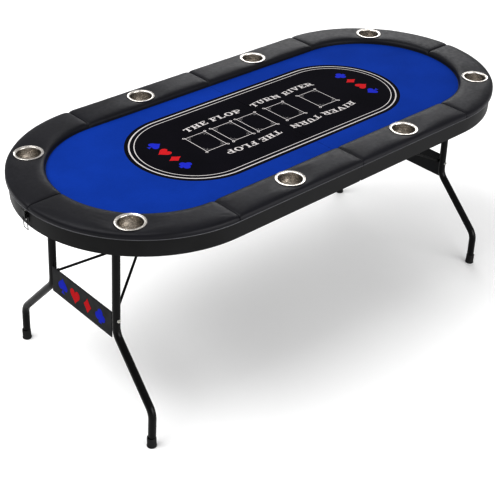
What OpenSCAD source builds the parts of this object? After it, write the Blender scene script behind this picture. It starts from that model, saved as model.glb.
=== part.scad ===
// Folding eight-seat card table, open on its legs. Millimetres, floor at z = 0, long axis along X.

/* [Plan] */
// Half length of the straight sides
half_straight = 504; // [450:560]
// Outer radius of the padded rail at the round ends
rail_outer = 421; // [400:440]
// Inner radius of the padded rail
rail_inner = 303; // [290:320]
// Rounding of the padding's top edges
pad_round = 7; // [4:12]
// Outer radius of the apron
apron_outer = 414; // [395:420]
// Thickness of the apron
apron_thick = 12; // [8:16]
// Gap between each half and the fold line
fold_gap = 0.2; // [0.1:0.1:1]

/* [Heights] */
// Top of the padded rail
rail_top = 750; // [720:780]
// Underside of the board
board_under = 717; // [700:725]
// Thickness of the board
board_thick = 12; // [9:15]
// Thickness of the felt and its foam
felt_thick = 3; // [2:5]
// Thickness of the rail base board
base_thick = 6; // [4:8]
// Lower edge of the apron
apron_low = 674; // [665:690]

/* [Cup holders] */
// Radius from the rail's arc centre to each cup
cup_centre = 359.3; // [350:366]
// Distance of the straight side's cup from the fold
cup_along = 253.3; // [240:270]
// Inside radius of the cup's mouth
cup_inner = 36.5; // [34:38]
// Outer radius of the cup's flange
cup_flange = 46; // [44:48]
// Depth of the cup below the rail
cup_depth = 60; // [45:62]

/* [Legs] */
// Distance of the leg hinge from the fold
leg_x = 746; // [730:760]
// Height of the leg hinge
leg_z = 700; // [699:701]
// Outward lean of the open legs
leg_lean = 2.6; // [1:0.1:4]
// Radius of the leg tube
tube = 12.5; // [10:13]
// Radius of the cross tube that turns in the brackets
cross = 14; // [13:15]
// Half spacing of the upper legs
leg_y = 168; // [150:180]
// Half spacing of the feet
foot_y = 348; // [320:350]
// Distance down the leg to the upper bend
bend_a = 380; // [360:400]
// Distance down the leg to the lower bend
bend_b = 573; // [560:590]
// Bend radius of the tube
bend_r = 60; // [40:80]
// Distance down the leg to the brace bolt
brace_down = 331.3; // [310:345]

/* [Braces] */
// Knee distance from the fold
knee_x = 548; // [540:560]
// Knee height
knee_z = 462; // [450:475]
// Arm pivot distance from the fold
arm_x = 445.1; // [440:0.1:460]
// Arm pivot height
arm_z = 704; // [702:706]
// Radius of the brace rod
rod = 4; // [3:5]

/* [Fold hinges] */
// Half spacing of the two hinge pins
pin_x = 6; // [5:8]
// Height of the hinge pins
pin_z = 679.5; // [678:681]
// Distance of each hinge from the middle
hinge_y = 230; // [180:260]
// Width of each hinge
hinge_w = 50; // [40:60]

/* [Latch] */
// Latch distance from the middle of the end
latch_y = 20; // [10:30]

/* [Hidden] */
$fn = 48;
board_top = board_under + board_thick;
felt_top = board_top + felt_thick;
base_top = board_top + base_thick;
apron_in = apron_outer - apron_thick;
turn = atan2(foot_y - leg_y, bend_b - bend_a);
tangent = bend_r * tan(turn / 2);
latch_turn = asin(latch_y / apron_outer);
cup_spots = [[-cup_along, -cup_centre], [-cup_along, cup_centre], [-half_straight - cup_centre * cos(45), -cup_centre * sin(45)], [-half_straight - cup_centre * cos(45), cup_centre * sin(45)]];
bracket_spots = [[-leg_x - 26, -130], [-leg_x + 26, -130], [-leg_x - 26, 130], [-leg_x + 26, 130], [-arm_x - 17, 0], [-arm_x + 17, 0]];
hinge_spots = [[-19, -hinge_y - 17], [-19, -hinge_y + 17], [-19, hinge_y - 17], [-19, hinge_y + 17]];

// A half racetrack in plan, from the fold to the round end.
module half_track(r) {
    translate([-half_straight, 0]) circle(r, $fn = 96);
    translate([-half_straight, -r]) square([half_straight - fold_gap, 2 * r]);
}

module cup_holes(z, h) {
    for (p = cup_spots) translate([p[0], p[1], z]) cylinder(r = cup_inner + 1.5, h = h);
}

// A cylinder along Y.
module y_rod(x, y0, y1, z, r) {
    translate([x, y0, z]) rotate([-90, 0, 0]) cylinder(r = r, h = y1 - y0);
}

// A straight rod between two points.
module strut(a, b, r) {
    d = b - a;
    translate(a) rotate([0, acos(d[2] / norm(d)), atan2(d[1], d[0])]) cylinder(r = r, h = norm(d));
}

module board() {
    color([0.72, 0.6, 0.44]) difference() {
        translate([0, 0, board_under]) linear_extrude(board_thick) half_track(apron_in);
        cup_holes(board_under - 1, board_thick + 2);
        for (p = bracket_spots) translate([p[0], p[1], board_under - 1]) cylinder(r = 2.1, h = 9);
    }
}

module felt() {
    color([0.08, 0.22, 0.66]) translate([0, 0, board_top]) linear_extrude(felt_thick) half_track(rail_inner - 0.6);
}

module rail_base() {
    color([0.66, 0.55, 0.4]) difference() {
        translate([0, 0, board_top]) linear_extrude(base_thick) difference() {
            half_track(apron_outer);
            half_track(rail_inner + 5);
            translate([-fold_gap - 1, -rail_inner - 5]) square([4, 2 * rail_inner + 10]);
        }
        cup_holes(board_top - 1, base_thick + 2);
    }
}

// Cross section of a padded segment, wrapped over its base board.
module pad_profile() {
    difference() {
        translate([0, board_top + 0.3]) intersection() {
            translate([rail_inner, 0]) square([rail_outer - rail_inner, rail_top - board_top - 0.3]);
            translate([rail_inner, -10]) offset(r = pad_round) offset(delta = -pad_round) square([rail_outer - rail_inner, rail_top - board_top + 9.7]);
        }
        translate([rail_inner + 4.7, board_top - 1]) square([apron_outer - rail_inner - 4.4, base_thick + 1]);
    }
}

module pad_straight() {
    color([0.16, 0.16, 0.18]) difference() {
        translate([-half_straight + 0.15, 0, 0]) rotate([90, 0, 90]) linear_extrude(half_straight - fold_gap - 0.15) pad_profile();
        translate([-cup_along, cup_centre, board_top]) cylinder(r = cup_inner + 1.5, h = 40);
    }
}

module pad_end() {
    color([0.16, 0.16, 0.18]) difference() {
        translate([-half_straight, 0, 0]) rotate([0, 0, 90.02]) rotate_extrude(angle = 89.96, $fn = 96) pad_profile();
        translate([-half_straight - cup_centre * cos(45), cup_centre * sin(45), board_top]) cylinder(r = cup_inner + 1.5, h = 40);
    }
}

module apron() {
    color([0.1, 0.1, 0.11]) difference() {
        translate([0, 0, apron_low]) linear_extrude(board_top - apron_low) difference() {
            half_track(apron_outer);
            half_track(apron_in);
            translate([-fold_gap - 1, -apron_in]) square([4, 2 * apron_in]);
        }
        for (s = [-1, 1]) translate([-fold_gap, s * (apron_in + apron_thick / 2), apron_low]) rotate([0, 45, 0]) cube([5.7, apron_thick + 4, 5.7], center = true);
    }
}

module beam() {
    color([0.7, 0.58, 0.42]) difference() {
        translate([-27.5, -apron_in, pin_z + 1.5]) cube([27.5 - fold_gap, 2 * apron_in, board_under - pin_z - 1.5]);
        for (s = [-1, 1]) translate([-11.5, s * hinge_y - hinge_w / 2 - 1.5, pin_z]) cube([12, hinge_w + 3, 5.5]);
        for (p = hinge_spots) translate([p[0], p[1], pin_z]) cylinder(r = 2.1, h = 12);
    }
}

module cups() {
    color([0.8, 0.8, 0.8]) for (p = cup_spots) translate([p[0], p[1], 0]) rotate_extrude($fn = 72) {
        translate([0, rail_top - cup_depth]) square([cup_inner + 0.9, 1]);
        translate([cup_inner, rail_top - cup_depth]) square([0.9, cup_depth + 1.6]);
        translate([cup_inner, rail_top]) square([cup_flange - cup_inner, 1.6]);
    }
}

module leg_brackets() {
    color([0.13, 0.13, 0.14]) for (s = [-1, 1]) difference() {
        union() {
            y_rod(-leg_x, s * 130 - 14, s * 130 + 14, leg_z, cross + 2.8);
            translate([-leg_x - 36, s * 130 - 14, board_under - 2.5]) cube([72, 28, 2.5]);
        }
        y_rod(-leg_x, s * 130 - 15, s * 130 + 15, leg_z, cross + 0.4);
        for (x = [-26, 26]) translate([-leg_x + x, s * 130, board_under - 4]) cylinder(r = 2.1, h = 6);
    }
}

module arm_bracket() {
    color([0.6, 0.6, 0.6]) difference() {
        union() {
            translate([-arm_x - 24, -9, board_under - 2.5]) cube([48, 18, 2.5]);
            for (s = [-1, 1]) translate([-arm_x - 8, s * 7.25 - 1.25, arm_z - 6]) cube([16, 2.5, board_under - arm_z + 5]);
        }
        for (x = [-17, 17]) translate([-arm_x + x, 0, board_under - 4]) cylinder(r = 2.1, h = 6);
        y_rod(-arm_x, -10, 10, arm_z, 2.6);
    }
}

module screw(p, z, up) {
    translate([p[0], p[1], z - 2.2]) cylinder(r = 4.5, h = 2.2);
    translate([p[0], p[1], z - 0.1]) cylinder(r = 2, h = up + 0.1);
}

module bracket_screws() {
    color([0.75, 0.75, 0.76]) for (p = bracket_spots) screw(p, board_under - 2.5, 9);
}

module hinge_leaves() {
    color([0.7, 0.68, 0.6]) for (s = [-1, 1]) difference() {
        union() {
            translate([-27, s * hinge_y - hinge_w / 2, pin_z - 0.5]) cube([15.5, hinge_w, 2]);
            for (t = [-1, 1]) {
                y_rod(-pin_x, s * hinge_y + t * 17 - 8, s * hinge_y + t * 17 + 8, pin_z, 4);
                translate([-12, s * hinge_y + t * 17 - 8, pin_z - 0.5]) cube([6, 16, 2]);
            }
        }
        y_rod(-pin_x, s * hinge_y - hinge_w, s * hinge_y + hinge_w, pin_z, 1.6);
        for (t = [-17, 17]) translate([-19, s * hinge_y + t, pin_z - 2]) cylinder(r = 2.1, h = 5);
    }
}

module hinge_screws() {
    color([0.7, 0.68, 0.6]) for (p = hinge_spots) {
        translate([p[0], p[1], pin_z - 2]) cylinder(r = 3.8, h = 1.5);
        translate([p[0], p[1], pin_z - 0.6]) cylinder(r = 2, h = 12);
    }
}

// Places its children in the leg frame, hinge at the origin and the foot down.
module leg_frame() {
    translate([-leg_x, 0, leg_z]) rotate([0, leg_lean, 0]) children();
}

module cross_tube() {
    color([0.08, 0.08, 0.09]) {
        y_rod(-leg_x, -leg_y - tube - 2, leg_y + tube + 2, leg_z, cross);
    }
}

// One leg, bent out from the frame and back to the foot.
module leg() {
    color([0.08, 0.08, 0.09]) difference() {
        leg_frame() {
            translate([0, leg_y, -bend_a + tangent - 1]) cylinder(r = tube, h = bend_a - tangent + 1);
            translate([0, leg_y + bend_r, -bend_a + tangent]) rotate([90, 0, 90]) rotate([0, 0, 180]) rotate_extrude(angle = turn) translate([bend_r, 0]) circle(tube - 0.25);
            strut([0, leg_y + (tangent - 1) * sin(turn), -bend_a - (tangent - 1) * cos(turn)], [0, foot_y - (tangent - 1) * sin(turn), -bend_b + (tangent - 1) * cos(turn)], tube);
            translate([0, foot_y - bend_r, -bend_b - tangent]) rotate([90, 0, 90]) rotate_extrude(angle = turn) translate([bend_r, 0]) circle(tube - 0.25);
            translate([0, foot_y, -leg_z + 5]) cylinder(r = tube, h = leg_z - 4 - bend_b - tangent);
        }
        y_rod(-leg_x, leg_y - 30, leg_y + 30, leg_z, cross);
        leg_frame() y_rod(0, leg_y - 20, leg_y + 20, -brace_down, 2.6);
    }
}

module leg_panel() {
    color([0.2, 0.2, 0.22]) leg_frame() translate([-9.5, -157.2, -401]) cube([3, 314.4, 95]);
}

module feet() {
    color([0.07, 0.07, 0.07]) for (s = [-1, 1]) difference() {
        translate([-leg_x - leg_z * tan(leg_lean), s * foot_y, 0]) cylinder(r = 15.5, h = 36);
        leg_frame() translate([0, s * foot_y, -leg_z + 5]) cylinder(r = tube + 0.05, h = 60);
    }
}

module brace_bolts() {
    color([0.75, 0.75, 0.76]) leg_frame() for (s = [-1, 1]) {
        y_rod(0, s * leg_y - 18.5, s * leg_y + 18.5, -brace_down, 2.4);
        y_rod(0, s * (leg_y + 14) - 1.5, s * (leg_y + 14) + 1.5, -brace_down, 5.5);
        y_rod(0, s * (leg_y - 19) - 1, s * (leg_y - 19) + 1, -brace_down, 4.8);
    }
}

bolt_x = -leg_x - brace_down * sin(leg_lean);
bolt_z = leg_z - brace_down * cos(leg_lean);

// Each rod ends in a flat eye on the leg's bolt and a round eye at the knee.
module brace_rods() {
    dx = -knee_x - bolt_x;
    dz = knee_z - bolt_z;
    l = norm([dx, dz]);
    color([0.1, 0.1, 0.11]) for (s = [-1, 1]) difference() {
        union() {
            strut([bolt_x + dx * 12 / l, s * (leg_y - 17.2), bolt_z + dz * 12 / l], [-knee_x, s * 9.6, knee_z], rod);
            y_rod(bolt_x, s * (leg_y - 15.2) - 2.4, s * (leg_y - 15.2) + 2.4, bolt_z, 6);
            translate([bolt_x, s * (leg_y - 15.2) - 2.4, bolt_z]) rotate([0, -atan2(dz, dx), 0]) translate([0, 0, -4.5]) cube([15, 4.8, 9]);
            y_rod(-knee_x, s * 8.9 - 3.4, s * 8.9 + 3.4, knee_z, 7);
            y_rod(-knee_x, s * 13.5 - 1.5, s * 13.5 + 1.5, knee_z, 5);
        }
        y_rod(bolt_x, s * (leg_y - 15.2) - 5, s * (leg_y - 15.2) + 5, bolt_z, 2.6);
    }
}

module brace_arm() {
    a = atan2(arm_z - knee_z, knee_x - arm_x);
    l = norm([knee_x - arm_x, arm_z - knee_z]);
    color([0.1, 0.1, 0.11]) union() {
        y_rod(-arm_x, -3, 3, arm_z, 6);
        y_rod(-arm_x, -9.5, 9.5, arm_z, 2.4);
        y_rod(-knee_x, -3, 3, knee_z, 7);
        translate([-knee_x, -3, knee_z]) rotate([0, -a, 0]) translate([0, 0, -5]) cube([l, 6, 10]);
    }
}

module hinge_links() {
    color([0.7, 0.68, 0.6]) for (s = [-1, 1]) difference() {
        union() {
            for (x = [-pin_x, pin_x]) y_rod(x, s * hinge_y - 8.4, s * hinge_y + 8.4, pin_z, 4);
            translate([-pin_x, s * hinge_y - 8.4, pin_z - 4]) cube([2 * pin_x, 16.8, 8]);
        }
        for (x = [-pin_x, pin_x]) y_rod(x, s * hinge_y - 10, s * hinge_y + 10, pin_z, 1.5);
    }
}

module hinge_pins() {
    color([0.8, 0.8, 0.8]) for (s = [-1, 1], x = [-pin_x, pin_x]) y_rod(x, s * hinge_y - hinge_w / 2 - 0.5, s * hinge_y + hinge_w / 2 + 0.5, pin_z, 1.5);
}

// Places its children on the end apron, X outwards.
module on_end() {
    translate([-half_straight, 0, 0]) rotate([0, 0, 180 - latch_turn]) translate([apron_outer, 0, 0]) children();
}

module latch_base() {
    color([0.1, 0.1, 0.1]) on_end() difference() {
        union() {
            translate([0, -12, 688]) cube([1.5, 24, 38]);
            for (s = [-1, 1]) {
                translate([1.4, s * 5.75 - 0.75, 700.6]) cube([4.1, 1.5, 6.8]);
                y_rod(5.5, s * 5.75 - 0.75, s * 5.75 + 0.75, 704, 3.4);
            }
            y_rod(5.5, -9.5, 9.5, 704, 1.5);
        }
        for (z = [692, 720]) translate([-1, 0, z]) rotate([0, 90, 0]) cylinder(r = 1.7, h = 4);
    }
}

module latch_lever() {
    color([0.12, 0.12, 0.12]) on_end() difference() {
        union() {
            translate([9.5, -9.5, 704]) cube([1.5, 19, 23]);
            for (s = [-1, 1]) translate([3.2, s * 8.5 - 1, 701.2]) cube([7.8, 2, 12.8]);
        }
        y_rod(5.5, -12, 12, 704, 1.7);
    }
}

module latch_loop() {
    color([0.12, 0.12, 0.12]) on_end() {
        for (s = [-1, 1]) {
            translate([5.5, s * 11.4, 662]) cylinder(r = 1.2, h = 50);
            y_rod(5.5, s * 10.55 - 0.85, s * 10.55 + 0.85, 710.6, 1);
        }
        y_rod(5.5, -11.4, 11.4, 663.4, 1);
    }
}

module latch_catch() {
    color([0.1, 0.1, 0.1]) mirror([1, 0, 0]) on_end() difference() {
        union() {
            translate([0, -12, 676]) cube([1.5, 24, 24]);
            translate([1.4, -8, 681]) cube([7.1, 16, 2.2]);
            translate([7.2, -8, 683]) cube([1.3, 16, 4]);
        }
        for (y = [-8, 8]) translate([-1, y, 694]) rotate([0, 90, 0]) cylinder(r = 1.7, h = 4);
    }
}

module end_screw(y, z) {
    translate([1.5, y, z]) rotate([0, 90, 0]) cylinder(r = 3, h = 1.2);
    translate([0.2, y, z]) rotate([0, 90, 0]) cylinder(r = 1.5, h = 1.4);
}

module latch_screws() {
    color([0.8, 0.8, 0.8]) on_end() for (z = [692, 720]) end_screw(0, z);
}

module catch_screws() {
    color([0.8, 0.8, 0.8]) mirror([1, 0, 0]) on_end() for (y = [-8, 8]) end_screw(y, 694);
}

module other_side() { mirror([0, 1, 0]) children(); }
module other_half() { mirror([1, 0, 0]) children(); }

module left_board() { board(); }
module left_felt() { felt(); }
module left_rail_base() { rail_base(); }
module left_pad_near() { other_side() pad_straight(); }
module left_pad_far() { pad_straight(); }
module left_pad_end_near() { other_side() pad_end(); }
module left_pad_end_far() { pad_end(); }
module left_apron() { apron(); }
module left_beam() { beam(); }
module left_cups() { cups(); }
module left_leg_brackets() { leg_brackets(); }
module left_arm_bracket() { arm_bracket(); }
module left_bracket_screws() { bracket_screws(); }
module left_hinge_leaves() { hinge_leaves(); }
module left_hinge_screws() { hinge_screws(); }
module left_cross_tube() { cross_tube(); }
module left_leg_near() { other_side() leg(); }
module left_leg_far() { leg(); }
module left_leg_panel() { leg_panel(); }
module left_feet() { feet(); }
module left_brace_bolts() { brace_bolts(); }
module left_brace_rods() { brace_rods(); }
module left_brace_arm() { brace_arm(); }
module right_board() { other_half() board(); }
module right_felt() { other_half() felt(); }
module right_rail_base() { other_half() rail_base(); }
module right_pad_near() { other_half() other_side() pad_straight(); }
module right_pad_far() { other_half() pad_straight(); }
module right_pad_end_near() { other_half() other_side() pad_end(); }
module right_pad_end_far() { other_half() pad_end(); }
module right_apron() { other_half() apron(); }
module right_beam() { other_half() beam(); }
module right_cups() { other_half() cups(); }
module right_leg_brackets() { other_half() leg_brackets(); }
module right_arm_bracket() { other_half() arm_bracket(); }
module right_bracket_screws() { other_half() bracket_screws(); }
module right_hinge_leaves() { other_half() hinge_leaves(); }
module right_hinge_screws() { other_half() hinge_screws(); }
module right_cross_tube() { other_half() cross_tube(); }
module right_leg_near() { other_half() other_side() leg(); }
module right_leg_far() { other_half() leg(); }
module right_leg_panel() { other_half() leg_panel(); }
module right_feet() { other_half() feet(); }
module right_brace_bolts() { other_half() brace_bolts(); }
module right_brace_rods() { other_half() brace_rods(); }
module right_brace_arm() { other_half() brace_arm(); }

left_board();
left_felt();
left_rail_base();
left_pad_near();
left_pad_far();
left_pad_end_near();
left_pad_end_far();
left_apron();
left_beam();
left_cups();
left_leg_brackets();
left_arm_bracket();
left_bracket_screws();
left_hinge_leaves();
left_hinge_screws();
left_cross_tube();
left_leg_near();
left_leg_far();
left_leg_panel();
left_feet();
left_brace_bolts();
left_brace_rods();
left_brace_arm();
right_board();
right_felt();
right_rail_base();
right_pad_near();
right_pad_far();
right_pad_end_near();
right_pad_end_far();
right_apron();
right_beam();
right_cups();
right_leg_brackets();
right_arm_bracket();
right_bracket_screws();
right_hinge_leaves();
right_hinge_screws();
right_cross_tube();
right_leg_near();
right_leg_far();
right_leg_panel();
right_feet();
right_brace_bolts();
right_brace_rods();
right_brace_arm();
hinge_links();
hinge_pins();
latch_base();
latch_lever();
latch_loop();
latch_catch();
latch_screws();
catch_screws();
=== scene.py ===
"""Looks of a folding eight-seat card table: padded rail, printed cloth, cup holders and folding tube legs."""

import math

import bmesh
import bpy
import numpy as np
from bpy.props import FloatProperty, FloatVectorProperty, IntProperty, PointerProperty
from mathutils import Matrix, Vector, noise


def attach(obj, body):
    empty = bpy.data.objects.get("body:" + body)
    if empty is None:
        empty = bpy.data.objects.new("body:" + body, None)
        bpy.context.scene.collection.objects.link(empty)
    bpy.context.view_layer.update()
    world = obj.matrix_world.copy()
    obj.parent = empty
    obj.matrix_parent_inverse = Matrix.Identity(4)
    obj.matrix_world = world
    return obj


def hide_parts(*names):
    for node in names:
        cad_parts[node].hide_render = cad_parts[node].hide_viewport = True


bl_info = {
    "name": "Folding card table",
    "version": (1, 0, 0),
    "blender": (4, 5, 0),
    "location": "View3D > Sidebar > Card table",
    "description": "Builds the finished surfaces of a folding card table around its fixed frame",
    "category": "Object",
}

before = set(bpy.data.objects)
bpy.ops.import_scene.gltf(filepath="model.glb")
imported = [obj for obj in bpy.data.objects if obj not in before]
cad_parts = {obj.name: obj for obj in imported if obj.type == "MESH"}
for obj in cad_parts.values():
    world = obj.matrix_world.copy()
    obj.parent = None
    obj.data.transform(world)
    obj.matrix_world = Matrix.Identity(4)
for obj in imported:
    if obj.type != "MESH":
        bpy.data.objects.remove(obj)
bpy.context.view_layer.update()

MM = 0.001
HALVES = ("left", "right")
SIDES = ("near", "far")
SIGN = {"left": -1, "right": 1, "near": -1, "far": 1}

# plan of the table, in millimetres
STRAIGHT = 504.0
RAIL_IN, RAIL_OUT = 303.0, 421.0
FOLD_GAP = 0.03
CUP_R, CUP_ALONG = 359.3, 253.3
CUP_HOLE_R, CUP_FLANGE_R = 38.2, 47.0
BOARD_TOP, CLOTH_TOP, CLOTH_TRIM = 729.0, 732.0, 0.7
ZONE_S, ZONE_R = 318.0, 219.5
LEG_X, LEG_Z, LEG_LEAN = 746.0, 700.0, math.radians(2.6)
LEG_Y, FOOT_Y, BEND_A, BEND_B, BEND_R = 168.0, 348.0, 380.0, 573.0, 60.0
CROSS_R, BOLT_DOWN = 14.0, 331.3


# ---------------------------------------------------------------- sizes and colours


def hex_colour(code):
    """sRGB hex code to linear colour."""
    out = []
    for i in (0, 2, 4):
        c = int(code.lstrip("#")[i : i + 2], 16) / 255
        out.append(c / 12.92 if c <= 0.04045 else ((c + 0.055) / 1.055) ** 2.4)
    return (*out, 1.0)


def length_property(name, description, default):
    return FloatProperty(name=name, description=description, default=default, unit="LENGTH")


def colour_property(name, description, code):
    return FloatVectorProperty(name=name, description=description, subtype="COLOR", default=hex_colour(code)[:3])


class RailSettings(bpy.types.PropertyGroup):
    """Sizes and colour of the padded rail."""

    crown: length_property("Crown", "Rise of the padding between its seams", 0.0022)
    seam_depth: length_property("Seam depth", "How far the cover is pulled down at a seam", 0.0052)
    seam_width: length_property("Seam width", "Length of cover that bends into a seam", 0.023)
    colour: colour_property("Vinyl colour", "Colour of the leather-look cover", "141419")


class ClothSettings(bpy.types.PropertyGroup):
    """Colour of the cloth and sizes of its printing."""

    cloth: colour_property("Cloth colour", "Colour of the dyed cloth", "0b3684")
    line_width: length_property("Line width", "Width of the outer printed line", 0.0052)
    letter_height: length_property("Letter height", "Height of the printed capitals", 0.025)


class MetalSettings(bpy.types.PropertyGroup):
    """Sizes of the metal parts."""

    tube_radius: length_property("Tube radius", "Outer radius of the leg tube", 0.0125)
    cup_bead: length_property("Cup bead", "Radius of the rolled edge of the cup holders", 0.0011)
    screw_sides: IntProperty(name="Screw sides", description="Facets round a screw head", default=20, min=8, max=48)


# ---------------------------------------------------------------- small helpers


def node(tree, kind, settings=None, links=None):
    """Adds one node: settings are attributes or socket defaults, links map an input to an output socket."""
    n = tree.nodes.new(kind)
    for key, value in (settings or {}).items():
        if isinstance(key, int) or key in n.inputs and not hasattr(n, str(key)):
            n.inputs[key].default_value = value
        else:
            setattr(n, key, value)
    for key, source in (links or {}).items():
        tree.links.new(source, n.inputs[key])
    return n


def linked(name, data):
    """A new object in the scene."""
    obj = bpy.data.objects.new(name, data)
    bpy.context.scene.collection.objects.link(obj)
    return obj


def mesh_object(name, verts, faces, materials=(), smooth=True, face_slots=None):
    """A new object at the origin from vertices in millimetres."""
    mesh = bpy.data.meshes.new(name)
    mesh.from_pydata([tuple(c * MM for c in v) for v in verts], [], faces)
    mesh.update()
    for m in materials:
        mesh.materials.append(m)
    if face_slots is not None:
        mesh.polygons.foreach_set("material_index", face_slots)
    mesh.polygons.foreach_set("use_smooth", [smooth] * len(mesh.polygons))
    return linked(name, mesh)


def tidy(obj, merge=0.01):
    """Merges doubles and turns every face outwards."""
    bm = bmesh.new()
    bm.from_mesh(obj.data)
    bmesh.ops.remove_doubles(bm, verts=bm.verts, dist=merge * MM)
    bmesh.ops.recalc_face_normals(bm, faces=bm.faces)
    bm.to_mesh(obj.data)
    bm.free()
    return obj


def apply_modifiers(obj):
    """Turns the evaluated object into a plain mesh and removes its modifiers."""
    bpy.context.view_layer.update()
    deps = bpy.context.evaluated_depsgraph_get()
    mesh = bpy.data.meshes.new_from_object(obj.evaluated_get(deps), depsgraph=deps)
    obj.modifiers.clear()
    obj.data = mesh
    return obj


def add_modifier(obj, kind, **settings):
    m = obj.modifiers.new(kind.title(), kind)
    for key, value in settings.items():
        setattr(m, key, value)
    return m


def shade(obj, angle=35):
    """Smooth shading with its hard edges kept sharp."""
    mesh = obj.data
    mesh.polygons.foreach_set("use_smooth", [True] * len(mesh.polygons))
    bm = bmesh.new()
    bm.from_mesh(mesh)
    for e in bm.edges:
        e.smooth = not (len(e.link_faces) == 2 and e.calc_face_angle(0) > math.radians(angle))
    bm.to_mesh(mesh)
    bm.free()
    return obj


def settle(obj, body, slot=None, *nodes):
    """Rides the piece on its body and hides the CAD nodes it stands for."""
    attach(obj, body)
    if nodes:
        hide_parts(*nodes)
    return obj


def lathe(profile, centre, count=96):
    """Vertices and faces of a turned shape. profile is (radius, height) in millimetres."""
    verts, faces, rings = [], [], []
    for r, z in profile:
        if r < 1e-6:
            rings.append([len(verts)])
            verts.append((centre[0], centre[1], z))
        else:
            rings.append(list(range(len(verts), len(verts) + count)))
            for k in range(count):
                a = 2 * math.pi * k / count
                verts.append((centre[0] + r * math.cos(a), centre[1] + r * math.sin(a), z))
    for a, b in zip(rings, rings[1:]):
        for k in range(count):
            j = (k + 1) % count
            if len(a) == 1 and len(b) == 1:
                continue
            if len(a) == 1:
                faces.append((a[0], b[j], b[k]))
            elif len(b) == 1:
                faces.append((a[k], a[j], b[0]))
            else:
                faces.append((a[k], a[j], b[j], b[k]))
    return verts, faces


def merged_lists(parts):
    """Joins several (verts, faces) into one."""
    verts, faces = [], []
    for v, f in parts:
        base = len(verts)
        verts += v
        faces += [tuple(i + base for i in face) for face in f]
    return verts, faces


def ring_faces(rows, n):
    """Faces between successive rings of n vertices."""
    return [
        (i * n + k, i * n + (k + 1) % n, (i + 1) * n + (k + 1) % n, (i + 1) * n + k)
        for i in range(rows - 1)
        for k in range(n)
    ]


def sweep(path, radius, sides=24, caps=True):
    """A round tube along a path of points, as (verts, faces)."""
    pts = [Vector(p) for p in path]
    last = len(pts) - 1
    tangents = [(pts[min(i + 1, last)] - pts[max(i - 1, 0)]).normalized() for i in range(len(pts))]
    up = Vector((1, 0, 0)) if abs(tangents[0].x) < 0.9 else Vector((0, 0, 1))
    side = tangents[0].cross(up).normalized()
    verts = []
    for p, t in zip(pts, tangents):
        side = (side - t * side.dot(t)).normalized()
        other = t.cross(side)
        for k in range(sides):
            a = 2 * math.pi * k / sides
            verts.append(tuple(p + radius * (math.cos(a) * side + math.sin(a) * other)))
    faces = ring_faces(len(pts), sides)
    if caps:
        faces.append(tuple(reversed(range(sides))))
        faces.append(tuple(range(last * sides, len(pts) * sides)))
    return verts, faces


# ---------------------------------------------------------------- materials


def new_material(name, **shader):
    """A material with its principled shader's own sockets set."""
    m = bpy.data.materials.new(name)
    m.use_nodes = True
    t = m.node_tree
    t.nodes.clear()
    bsdf = node(t, "ShaderNodeBsdfPrincipled", {k.replace("_", " "): v for k, v in shader.items()})
    node(t, "ShaderNodeOutputMaterial", links={"Surface": bsdf.outputs[0]})
    where = node(t, "ShaderNodeTexCoord").outputs["Object"]
    m.diffuse_color = shader.get("Base_Color", (0.5, 0.5, 0.5, 1))
    return m, t, bsdf, where


def noise_mask(t, where, size_mm, detail=2.0, low=0.4, high=0.6, stretch=None):
    """Noise of a real grain size in millimetres, spread between low and high to 0..1."""
    if stretch:
        where = node(t, "ShaderNodeMapping", {"Scale": stretch}, {"Vector": where}).outputs[0]
    n = node(t, "ShaderNodeTexNoise", {"Scale": 1000 / size_mm, "Detail": detail}, {"Vector": where})
    return node(
        t, "ShaderNodeMapRange", {"From Min": low, "From Max": high}, {"Value": n.outputs["Fac"]}
    ).outputs[0]


def mix_colour(t, factor, a, b):
    """Blends two colours, each given as a constant or a socket, by a factor that is either too."""
    n = node(t, "ShaderNodeMix", {"data_type": "RGBA"})
    for k, c in ((0, factor), (6, a), (7, b)):
        if isinstance(c, (tuple, float)):
            n.inputs[k].default_value = c
        else:
            t.links.new(c, n.inputs[k])
    return n.outputs[2]


def tint(t, bsdf, factor, low, high):
    """Base colour that runs between two hex codes as factor runs from 0 to 1."""
    t.links.new(mix_colour(t, factor, hex_colour(low), hex_colour(high)), bsdf.inputs["Base Color"])


def gloss(t, bsdf, factor, low, high):
    """Roughness that runs from low to high as factor runs from 0 to 1."""
    ramp = node(t, "ShaderNodeMapRange", {"To Min": low, "To Max": high}, {"Value": factor})
    t.links.new(ramp.outputs[0], bsdf.inputs["Roughness"])


def bump(t, bsdf, height, distance_mm, strength=1.0, chain=None):
    n = node(t, "ShaderNodeBump", {"Strength": strength, "Distance": distance_mm * MM}, {"Height": height})
    if chain is not None:
        t.links.new(chain, n.inputs["Normal"])
    t.links.new(n.outputs[0], bsdf.inputs["Normal"])
    return n.outputs[0]


def vinyl():
    """Leather-look PVC vinyl, embossed with a pebble grain of about 1.9 mm, with a soft satin sheen."""
    m, t, bsdf, where = new_material("embossed black vinyl", Roughness=0.42, Specular_IOR_Level=0.22)
    pebble = node(
        t, "ShaderNodeTexVoronoi", {"feature": "F1", "Scale": 1000 / 1.9, "Randomness": 0.9}, {"Vector": where}
    ).outputs["Distance"]
    soft = noise_mask(t, where, 110, 3, 0.3, 0.7)
    creases = noise_mask(t, where, 14, 3, 0.35, 0.65)
    cover = (*bpy.context.scene.card_rail.colour, 1.0)
    t.links.new(mix_colour(t, soft, cover, hex_colour("18181e")), bsdf.inputs["Base Color"])
    gloss(t, bsdf, creases, 0.40, 0.47)
    grain = node(t, "ShaderNodeMath", {"operation": "SUBTRACT", 0: 1.0}, {1: pebble}).outputs[0]
    first = node(t, "ShaderNodeBump", {"Strength": 0.15, "Distance": 0.0004}, {"Height": creases}).outputs[0]
    bump(t, bsdf, grain, 0.2, 0.4, first)
    return m


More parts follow.
